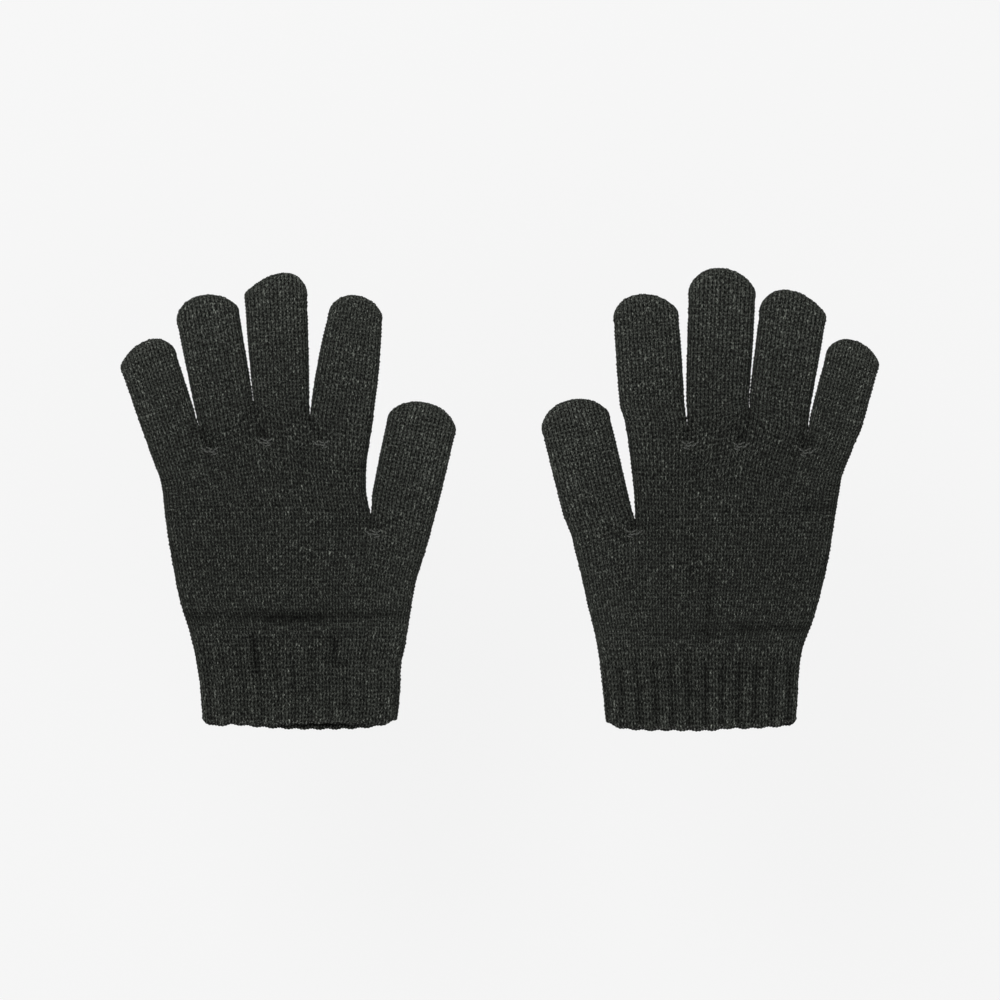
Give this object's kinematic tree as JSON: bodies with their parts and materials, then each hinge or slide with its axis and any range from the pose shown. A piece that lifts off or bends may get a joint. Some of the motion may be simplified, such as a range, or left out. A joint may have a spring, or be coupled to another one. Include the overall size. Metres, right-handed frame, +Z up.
{
  "type": "knitted gloves",
  "caption": "Fine-gauge knitted gloves in dark heather yarn, hollow, with ribbed cuffs, laid palm down side by side; the fingers, thumbs and cuffs bend.",
  "frame": {"origin": "centre of the pair on the surface that it lies on", "axes": "+X to the right across both gloves, +Y from the cuffs to the fingertips, +Z up out of the backs of the gloves, which lie palm down"},
  "size_m": [0.3425, 0.2087, 0.0131],
  "materials": {
    "hand_knit": "matte",
    "finger_knit": "matte",
    "cuff_rib_knit": "matte",
    "closing_stitch": "matte",
    "elastic": "matte"
  },
  "bodies": {
    "left_hand": {"left_upper_hand": "hand_knit", "left_lower_hand": "hand_knit", "left_fork_stitch_little_ring": "closing_stitch", "left_fork_stitch_ring_middle": "closing_stitch", "left_fork_stitch_middle_index": "closing_stitch", "left_fork_stitch_thumb": "closing_stitch"},
    "left_cuff": {"left_cuff_rib": "cuff_rib_knit", "left_cuff_hem": "cuff_rib_knit", "left_elastic_thread_1": "elastic", "left_elastic_thread_2": "elastic", "left_elastic_thread_3": "elastic", "left_elastic_thread_4": "elastic", "left_elastic_thread_5": "elastic"},
    "left_little_base": {"left_little_base": "finger_knit"},
    "left_little_tip": {"left_little_tip": "finger_knit"},
    "left_ring_base": {"left_ring_base": "finger_knit"},
    "left_ring_tip": {"left_ring_tip": "finger_knit"},
    "left_middle_base": {"left_middle_base": "finger_knit"},
    "left_middle_tip": {"left_middle_tip": "finger_knit"},
    "left_index_base": {"left_index_base": "finger_knit"},
    "left_index_tip": {"left_index_tip": "finger_knit"},
    "left_thumb_base": {"left_thumb_base": "finger_knit"},
    "left_thumb_tip": {"left_thumb_tip": "finger_knit"},
    "right_hand": {"right_upper_hand": "hand_knit", "right_lower_hand": "hand_knit", "right_fork_stitch_index_middle": "closing_stitch", "right_fork_stitch_middle_ring": "closing_stitch", "right_fork_stitch_ring_little": "closing_stitch", "right_fork_stitch_thumb": "closing_stitch"},
    "right_cuff": {"right_cuff_rib": "cuff_rib_knit", "right_cuff_hem": "cuff_rib_knit", "right_elastic_thread_1": "elastic", "right_elastic_thread_2": "elastic", "right_elastic_thread_3": "elastic", "right_elastic_thread_4": "elastic", "right_elastic_thread_5": "elastic"},
    "right_index_base": {"right_index_base": "finger_knit"},
    "right_index_tip": {"right_index_tip": "finger_knit"},
    "right_middle_base": {"right_middle_base": "finger_knit"},
    "right_middle_tip": {"right_middle_tip": "finger_knit"},
    "right_ring_base": {"right_ring_base": "finger_knit"},
    "right_ring_tip": {"right_ring_tip": "finger_knit"},
    "right_little_base": {"right_little_base": "finger_knit"},
    "right_little_tip": {"right_little_tip": "finger_knit"},
    "right_thumb_base": {"right_thumb_base": "finger_knit"},
    "right_thumb_tip": {"right_thumb_tip": "finger_knit"}
  },
  "joints": [
    {"name": "left_wrist", "type": "hinge", "parent": "left_hand", "child": "left_cuff", "pos_m": [-0.0904, -0.0599, 0.006], "axis": [1, 0, 0], "range_deg": [-60, 60]},
    {"name": "left_little_knuckle", "type": "hinge", "parent": "left_hand", "child": "left_little_base", "pos_m": [-0.1518, 0.043, 0], "axis": [-1, 0, 0], "range_deg": [-15, 85]},
    {"name": "left_little_bend", "type": "hinge", "parent": "left_little_base", "child": "left_little_tip", "pos_m": [-0.15678, 0.05805, 0], "axis": [-1, 0, 0], "range_deg": [0, 95]},
    {"name": "left_ring_knuckle", "type": "hinge", "parent": "left_hand", "child": "left_ring_base", "pos_m": [-0.1244, 0.043, 0], "axis": [-1, 0, 0], "range_deg": [-15, 85]},
    {"name": "left_ring_bend", "type": "hinge", "parent": "left_ring_base", "child": "left_ring_tip", "pos_m": [-0.12895, 0.06805, 0], "axis": [-1, 0, 0], "range_deg": [0, 95]},
    {"name": "left_middle_knuckle", "type": "hinge", "parent": "left_hand", "child": "left_middle_base", "pos_m": [-0.0985, 0.043, 0], "axis": [-1, 0, 0], "range_deg": [-15, 85]},
    {"name": "left_middle_bend", "type": "hinge", "parent": "left_middle_base", "child": "left_middle_tip", "pos_m": [-0.1, 0.07265, 0], "axis": [-1, 0, 0], "range_deg": [0, 95]},
    {"name": "left_index_knuckle", "type": "hinge", "parent": "left_hand", "child": "left_index_base", "pos_m": [-0.0709, 0.043, 0], "axis": [-1, 0, 0], "range_deg": [-15, 85]},
    {"name": "left_index_bend", "type": "hinge", "parent": "left_index_base", "child": "left_index_tip", "pos_m": [-0.06731, 0.0679, 0], "axis": [-1, 0, 0], "range_deg": [0, 95]},
    {"name": "left_thumb_knuckle", "type": "hinge", "parent": "left_hand", "child": "left_thumb_base", "pos_m": [-0.0433, -0.008, 0], "axis": [-0.9763, 0.2164, 0], "range_deg": [-15, 70]},
    {"name": "left_thumb_bend", "type": "hinge", "parent": "left_thumb_base", "child": "left_thumb_tip", "pos_m": [-0.03734, 0.01891, 0], "axis": [-0.9763, 0.2164, 0], "range_deg": [0, 80]},
    {"name": "right_glove_shift", "type": "slide", "parent": "left_hand", "child": "right_hand", "axis": [1, 0, 0], "range_m": [-0.02, 0.08]},
    {"name": "right_wrist", "type": "hinge", "parent": "right_hand", "child": "right_cuff", "pos_m": [0.09005, -0.0657, 0.006], "axis": [1, 0, 0], "range_deg": [-60, 60]},
    {"name": "right_index_knuckle", "type": "hinge", "parent": "right_hand", "child": "right_index_base", "pos_m": [0.0691, 0.0405, 0], "axis": [-1, 0, 0], "range_deg": [-15, 85]},
    {"name": "right_index_bend", "type": "hinge", "parent": "right_index_base", "child": "right_index_tip", "pos_m": [0.06724, 0.06645, 0], "axis": [-1, 0, 0], "range_deg": [0, 95]},
    {"name": "right_middle_knuckle", "type": "hinge", "parent": "right_hand", "child": "right_middle_base", "pos_m": [0.0978, 0.0405, 0], "axis": [-1, 0, 0], "range_deg": [-15, 85]},
    {"name": "right_middle_bend", "type": "hinge", "parent": "right_middle_base", "child": "right_middle_tip", "pos_m": [0.09914, 0.07245, 0], "axis": [-1, 0, 0], "range_deg": [0, 95]},
    {"name": "right_ring_knuckle", "type": "hinge", "parent": "right_hand", "child": "right_ring_base", "pos_m": [0.1256, 0.0405, 0], "axis": [-1, 0, 0], "range_deg": [-15, 85]},
    {"name": "right_ring_bend", "type": "hinge", "parent": "right_ring_base", "child": "right_ring_tip", "pos_m": [0.12955, 0.0676, 0], "axis": [-1, 0, 0], "range_deg": [0, 95]},
    {"name": "right_little_knuckle", "type": "hinge", "parent": "right_hand", "child": "right_little_base", "pos_m": [0.1525, 0.0405, 0], "axis": [-1, 0, 0], "range_deg": [-15, 85]},
    {"name": "right_little_bend", "type": "hinge", "parent": "right_little_base", "child": "right_little_tip", "pos_m": [0.15681, 0.0568, 0], "axis": [-1, 0, 0], "range_deg": [0, 95]},
    {"name": "right_thumb_knuckle", "type": "hinge", "parent": "right_hand", "child": "right_thumb_base", "pos_m": [0.0452, -0.0113, 0], "axis": [-0.9715, -0.2368, 0], "range_deg": [-15, 70]},
    {"name": "right_thumb_bend", "type": "hinge", "parent": "right_thumb_base", "child": "right_thumb_tip", "pos_m": [0.03807, 0.01795, 0], "axis": [-0.9715, -0.2368, 0], "range_deg": [0, 80]}
  ]
}
